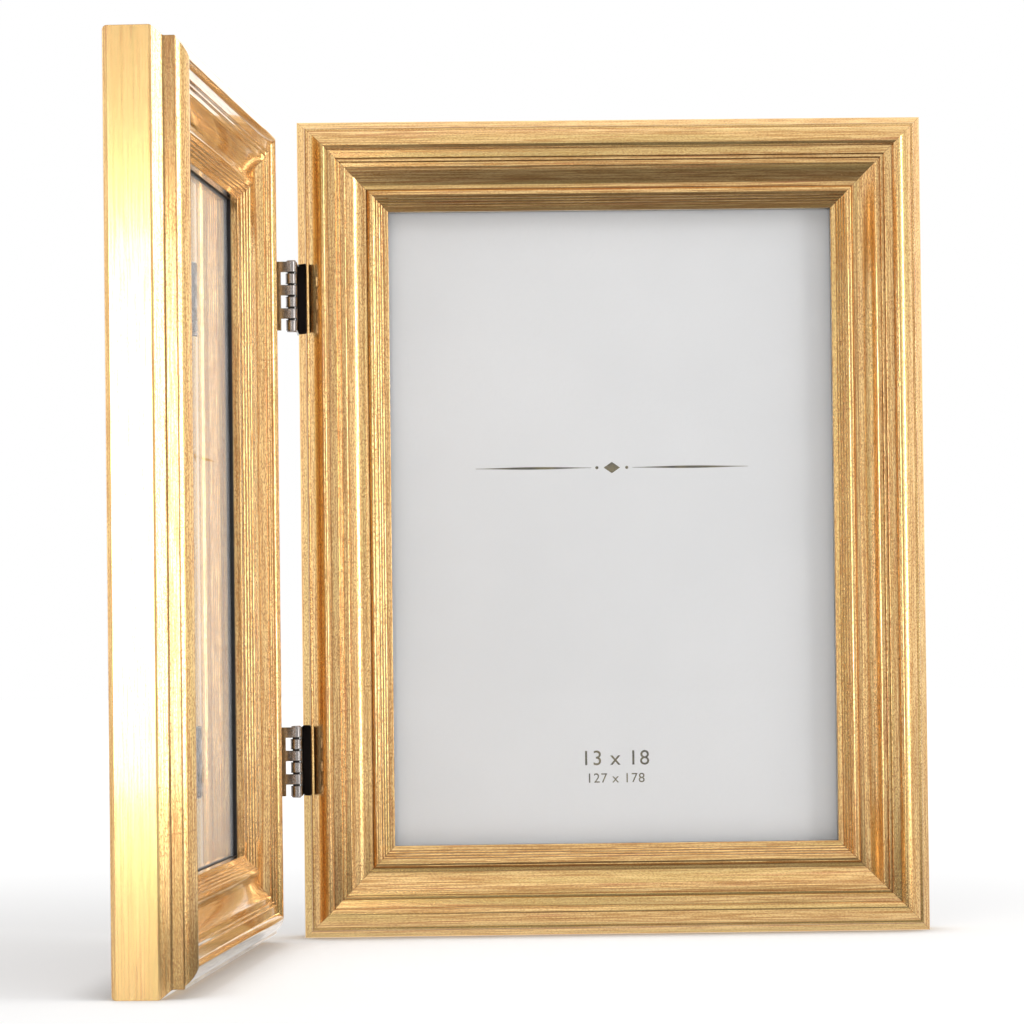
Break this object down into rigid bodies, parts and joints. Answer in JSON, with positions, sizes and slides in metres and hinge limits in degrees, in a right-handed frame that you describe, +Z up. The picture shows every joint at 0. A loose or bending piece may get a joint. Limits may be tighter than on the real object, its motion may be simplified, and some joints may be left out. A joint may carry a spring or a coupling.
{
  "type": "hinged double photo frame",
  "caption": "Folding double photo frame: two upright gilt moulded leaves with glass and turn-button backs, joined by butt hinges so they stand open like a book.",
  "frame": {"origin": "under the middle of the standing frame's box, on the surface it stands on", "axes": "+Z up along the hinge pins; the right leaf faces -Y; +X runs along the right leaf away from the hinges"},
  "size_m": [0.205, 0.19, 0.2174],
  "materials": {
    "gilded_wood": "burnished gold leaf over a red-brown ground on hardwood, streaked along the grain",
    "clear_glass": "clear polished sheet glass",
    "printed_card": "pale grey satin card with plain printed sizes",
    "corrugated_pad": "plain brown corrugated board",
    "backing_hardboard": "hardboard faced with matt black paper",
    "nail_steel": "plain cold-rolled steel strip",
    "zinc_steel": "zinc-plated stamped steel",
    "nickel_steel": "dark nickel-plated stamped steel"
  },
  "bodies": {
    "right_leaf": {"right_hinge_stile": "gilded_wood", "right_outer_stile": "gilded_wood", "right_top_rail": "gilded_wood", "right_bottom_rail": "gilded_wood", "right_corner_nails": "nail_steel", "right_glass": "clear_glass", "right_insert_card": "printed_card", "right_filler_pad": "corrugated_pad", "right_backing_board": "backing_hardboard", "right_button_screws": "zinc_steel", "right_lower_hinge_plate": "nickel_steel", "right_upper_hinge_plate": "nickel_steel", "right_hinge_screws": "nickel_steel", "lower_hinge_pin": "nickel_steel", "upper_hinge_pin": "nickel_steel"},
    "left_leaf": {"left_hinge_stile": "gilded_wood", "left_outer_stile": "gilded_wood", "left_top_rail": "gilded_wood", "left_bottom_rail": "gilded_wood", "left_corner_nails": "nail_steel", "left_glass": "clear_glass", "left_insert_card": "printed_card", "left_filler_pad": "corrugated_pad", "left_backing_board": "backing_hardboard", "left_button_screws": "zinc_steel", "left_lower_hinge_plate": "nickel_steel", "left_upper_hinge_plate": "nickel_steel", "left_hinge_screws": "nickel_steel"},
    "right_turn_button_hinge_side_lower": {"right_turn_button_hinge_side_lower": "zinc_steel"},
    "right_turn_button_outer_side_lower": {"right_turn_button_outer_side_lower": "zinc_steel"},
    "right_turn_button_hinge_side_upper": {"right_turn_button_hinge_side_upper": "zinc_steel"},
    "right_turn_button_outer_side_upper": {"right_turn_button_outer_side_upper": "zinc_steel"},
    "left_turn_button_hinge_side_lower": {"left_turn_button_hinge_side_lower": "zinc_steel"},
    "left_turn_button_outer_side_lower": {"left_turn_button_outer_side_lower": "zinc_steel"},
    "left_turn_button_hinge_side_upper": {"left_turn_button_hinge_side_upper": "zinc_steel"},
    "left_turn_button_outer_side_upper": {"left_turn_button_outer_side_upper": "zinc_steel"}
  },
  "joints": [
    {"name": "leaf_fold", "type": "hinge", "parent": "right_leaf", "child": "left_leaf", "pos_m": [-0.06557, 0.07148, 0.1087], "axis": [0, 0, 1], "range_deg": [-85, 95]},
    {"name": "right_button_hinge_side_lower_turn", "type": "hinge", "parent": "right_leaf", "child": "right_turn_button_hinge_side_lower", "pos_m": [-0.04857, 0.09308, 0.0587], "axis": [0, 1, 0], "range_deg": [-90, 90]},
    {"name": "right_button_outer_side_lower_turn", "type": "hinge", "parent": "right_leaf", "child": "right_turn_button_outer_side_lower", "pos_m": [0.08703, 0.09308, 0.0587], "axis": [0, 1, 0], "range_deg": [-90, 90]},
    {"name": "right_button_hinge_side_upper_turn", "type": "hinge", "parent": "right_leaf", "child": "right_turn_button_hinge_side_upper", "pos_m": [-0.04857, 0.09308, 0.1587], "axis": [0, 1, 0], "range_deg": [-90, 90]},
    {"name": "right_button_outer_side_upper_turn", "type": "hinge", "parent": "right_leaf", "child": "right_turn_button_outer_side_upper", "pos_m": [0.08703, 0.09308, 0.1587], "axis": [0, 1, 0], "range_deg": [-90, 90]},
    {"name": "left_button_hinge_side_lower_turn", "type": "hinge", "parent": "left_leaf", "child": "left_turn_button_hinge_side_lower", "pos_m": [-0.08857, 0.05642, 0.0587], "axis": [-0.9962, 0.0872, 0], "range_deg": [-90, 90]},
    {"name": "left_button_outer_side_lower_turn", "type": "hinge", "parent": "left_leaf", "child": "left_turn_button_outer_side_lower", "pos_m": [-0.10039, -0.07866, 0.0587], "axis": [-0.9962, 0.0872, 0], "range_deg": [-90, 90]},
    {"name": "left_button_hinge_side_upper_turn", "type": "hinge", "parent": "left_leaf", "child": "left_turn_button_hinge_side_upper", "pos_m": [-0.08857, 0.05642, 0.1587], "axis": [-0.9962, 0.0872, 0], "range_deg": [-90, 90]},
    {"name": "left_button_outer_side_upper_turn", "type": "hinge", "parent": "left_leaf", "child": "left_turn_button_outer_side_upper", "pos_m": [-0.10039, -0.07866, 0.1587], "axis": [-0.9962, 0.0872, 0], "range_deg": [-90, 90]}
  ]
}
